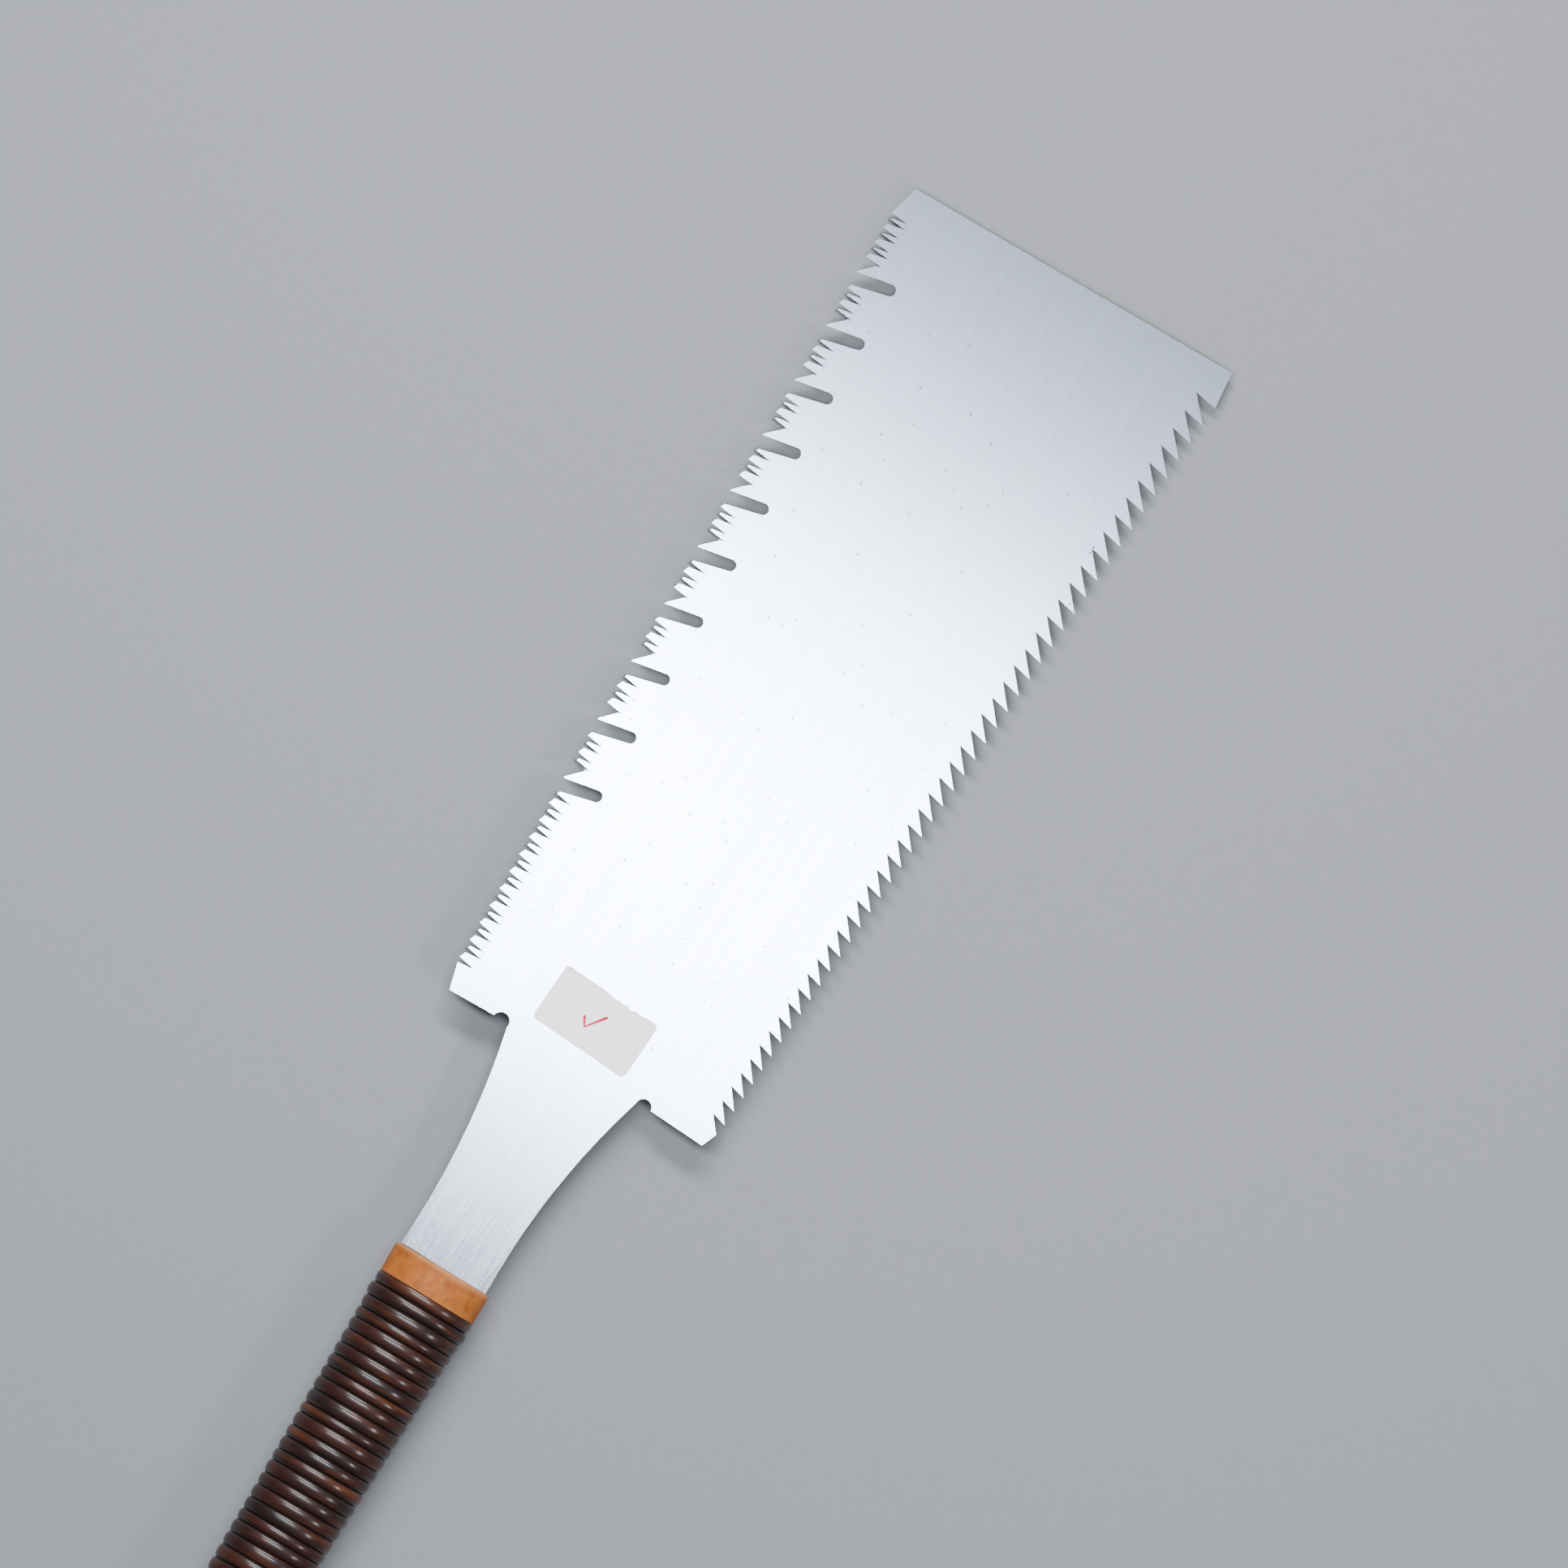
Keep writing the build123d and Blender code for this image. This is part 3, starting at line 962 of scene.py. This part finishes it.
# %% Paper
DIRT_WIDTH = 1.6 * MM
paper, tree, places = new_finish("gummed_smooth_paper")
clouds = add(tree, "TexNoise", {"Vector": places, "Scale": 1 / (2.5 * MM), "Detail": 5.0})
colour = add(
    tree,
    "Mix",
    {"Factor": clouds, "A": linear("F0EEF2"), "B": linear("FAF9FB")},
    data_type="RGBA",
)
spread = add(tree, "SeparateXYZ", {"Vector": places}).node
dirt_edge = add(
    tree,
    "MapRange",
    {
        "Value": spread.outputs["X"],
        "From Min": LABEL_CENTRE.x + half_x - DIRT_WIDTH,
        "From Max": LABEL_CENTRE.x + half_x,
    },
)
dirt_patch = add(
    tree,
    "TexNoise",
    {"Vector": places, "Scale": 1 / (1.4 * MM), "Detail": 3.0},
)
dirty = add(tree, "MapRange", {"Value": dirt_patch, "From Min": 0.5, "From Max": 0.7})
dirt = add(tree, "Math", {0: dirt_edge, 1: dirty}, operation="MULTIPLY")
colour = add(
    tree,
    "Mix",
    {"Factor": dirt, "A": colour, "B": linear("9A9CA2")},
    data_type="RGBA",
)
# Real paper fibres are about 0.03 mm wide: they are drawn 0.4 mm wide, to show.
fibre = add(tree, "TexNoise", {"Vector": places, "Scale": 1 / (0.4 * MM), "Detail": 3.0})
tooth = add(
    tree,
    "Bump",
    {"Height": fibre, "Strength": 0.2, "Distance": 0.03 * MM},
)
sheet_finish = add(
    tree,
    "BsdfPrincipled",
    {
        "Base Color": colour,
        "Roughness": 0.33,
        "Specular IOR Level": 0.8,
        "Normal": tooth,
    },
)
finish_with(tree, sheet_finish)
paint(paper, label)

# %% [markdown]
# The ink is a strong pink-red that soaked in unevenly. It has no shine of its own, so a
# soft noise between two reds is enough.

# %% Ink
ink, tree, places = new_finish("red_felt_pen_ink")
soaked = add(tree, "TexNoise", {"Vector": places, "Scale": 1 / (0.9 * MM), "Detail": 2.0})
colour = add(
    tree,
    "Mix",
    {"Factor": soaked, "A": linear("C00034"), "B": linear("DC1450")},
    data_type="RGBA",
)
ink_finish = add(tree, "BsdfPrincipled", {"Base Color": colour, "Roughness": 0.7})
finish_with(tree, ink_finish)
paint(ink, tick)

# %% [markdown]
# ## The stage
#
# A saw that is put down lies on its binding near the mouth and on the tip of its blade.
# The frame keeps the blade level, so here everything round the saw leans instead. The
# lights and the camera are placed square to the line from that binding to the tip.

# %% How the saw lies
REST_POINT = Vector((-15 * MM, 0, 0.4 * MM))
TIP_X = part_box("saw_plate")[1].x
UNDERSIDE_Z = mount("plate_underside")["pos_m"][2]
TIP_POINT = Vector((TIP_X, 0, UNDERSIDE_Z))
FORWARD = (TIP_POINT - REST_POINT).normalized()
SIDE = Vector((0, 1, 0))
SKY = FORWARD.cross(SIDE)


def on_stage(forward, side, height):
    """A point by its place round the lying saw, measured from the frame's middle."""
    start = REST_POINT - FORWARD * REST_POINT.dot(FORWARD)
    return start + FORWARD * forward + SIDE * side + SKY * height


print("the saw leans by", round(degrees(FORWARD.angle(Vector((1, 0, 0)))), 2), "degrees")


# %% [markdown]
# The floor leans a little less than that, because the blade stays level when it is
# pulled out of the handle. It leans just enough for the pulled-out tip to come down to
# it, and lies just under the binding.

# %% The leaning floor
FLOOR_HALF = 15.0
FLOOR_GAP = 0.1 * MM
PULL = frame["joints"][0]["range_m"][1]
pulled_tip = TIP_POINT + Vector((PULL, 0, 0))
floor_along = (pulled_tip - REST_POINT).normalized()
floor_up = floor_along.cross(SIDE)
lowest = min((v.co - REST_POINT).dot(floor_up) for w in windings for v in w.data.vertices)
bm = bmesh.new()
bmesh.ops.create_grid(bm, x_segments=1, y_segments=1, size=FLOOR_HALF)
leaning = Matrix((floor_along, SIDE, floor_up)).transposed()
bmesh.ops.rotate(bm, matrix=leaning, verts=bm.verts)
under = REST_POINT + floor_up * (min(lowest, 0) - FLOOR_GAP)
bmesh.ops.translate(bm, vec=under, verts=bm.verts)
floor_mesh = bpy.data.meshes.new("floor")
bm.to_mesh(floor_mesh)
bm.free()
ground = bpy.data.objects.new("floor", floor_mesh)
bpy.context.scene.collection.objects.link(ground)
print("the floor leans by", round(degrees(floor_along.angle(Vector((1, 0, 0)))), 2), "degrees")
print("its lowest binding point in mm:", round(lowest / MM, 3))

# %% [markdown]
# The floor is matt card. It must not mirror the saw, and its faint speckle keeps it from
# looking like a flat colour.

# %% The card
card, tree, places = new_finish("pale_matt_card")
speckle = add(tree, "TexNoise", {"Vector": places, "Scale": 1 / (3 * MM), "Detail": 3.0})
colour = add(
    tree,
    "Mix",
    {"Factor": speckle, "A": linear("838588"), "B": linear("888A8D")},
    data_type="RGBA",
)
card_finish = add(tree, "BsdfPrincipled", {"Base Color": colour, "Roughness": 0.9})
finish_with(tree, card_finish)
paint(card, ground)

# %% [markdown]
# ## Light
#
# A soft box high above gives the blade its bright middle, which fades towards the tip
# and the neck. It is weak, because the blade mirrors it. With a long soft box beyond the
# tip it draws the main shine on every turn of the cane, and a smaller box at the rip
# side draws the second row. A pale sky fills the rest.


# %% Soft boxes
def stood(place, right, up, back):
    """The matrix of a light or camera at a place. Both look the opposite way to back."""
    turned = Matrix((right, up, back)).transposed()
    return Matrix.Translation(place) @ turned.to_4x4()


def soft_box(name, place, aim, size, watts, colour):
    """Adds a rectangular light that faces a point. Its second size is across the saw."""
    lamp = bpy.data.lights.new(name, "AREA")
    lamp.shape = "RECTANGLE"
    lamp.size, lamp.size_y = size
    lamp.energy = watts
    lamp.color = linear(colour)[:3]
    holder = bpy.data.objects.new(name, lamp)
    back = (place - aim).normalized()
    right = SIDE.cross(back).normalized()
    holder.matrix_world = stood(place, right, back.cross(right), back)
    bpy.context.scene.collection.objects.link(holder)
    print(name, "at", [round(v, 2) for v in place])


MID_HEIGHT = 13 * MM
SHINE_AT = on_stage(139 * MM, 0, MID_HEIGHT)
CANE_AT = on_stage(-60 * MM, 0, MID_HEIGHT)
soft_box(
    "overhead_box",
    place=on_stage(200 * MM, 120 * MM, 1000 * MM),
    aim=SHINE_AT,
    size=(180 * MM, 700 * MM),
    watts=12.0,
    colour="F4F8FF",
)
soft_box(
    "tip_side_box",
    place=on_stage(920 * MM, 330 * MM, 1000 * MM),
    aim=CANE_AT,
    size=(220 * MM, 800 * MM),
    watts=21.0,
    colour="FFFFFF",
)
soft_box(
    "rip_side_box",
    place=on_stage(0, -1090 * MM, 1050 * MM),
    aim=CANE_AT,
    size=(300 * MM, 200 * MM),
    watts=7.0,
    colour="FFFFFF",
)

# %% [markdown]
# The sky is one pale colour from all sides. It is dim, so that the boxes still draw the
# shapes.

# %% Sky
SKY_STRENGTH = 0.24
world = bpy.data.worlds.new("pale_sky")
world.use_nodes = True
background = world.node_tree.nodes["Background"]
background.inputs["Color"].default_value = linear("E9EEF6")
background.inputs["Strength"].default_value = SKY_STRENGTH
bpy.context.scene.world = world
print("sky strength", SKY_STRENGTH)

# %% [markdown]
# ## Camera
#
# The camera looks straight down on the lying saw from far away, with a long lens, so
# there is almost no perspective. It is turned so that the blade points up and to the
# right.

# %% Camera
CAMERA_HEIGHT = 6.0
PICTURE_WIDTH = 454.2 * MM
PICTURE_AT = Vector((165.65 * MM, -7.56 * MM, MOUTH.z))
SENSOR = 36.0
FAR_CLIP = 50.0
ROLL = radians(57.63)
eye = bpy.data.cameras.new("camera")
eye.sensor_width = SENSOR
eye.lens = SENSOR * CAMERA_HEIGHT / PICTURE_WIDTH
eye.clip_end = FAR_CLIP
camera = bpy.data.objects.new("camera", eye)
right = FORWARD * cos(ROLL) - SIDE * sin(ROLL)
up = FORWARD * sin(ROLL) + SIDE * cos(ROLL)
camera.matrix_world = stood(PICTURE_AT + SKY * CAMERA_HEIGHT, right, up, SKY)
bpy.context.scene.collection.objects.link(camera)
bpy.context.scene.camera = camera
print("camera lens", round(eye.lens, 1), "mm")
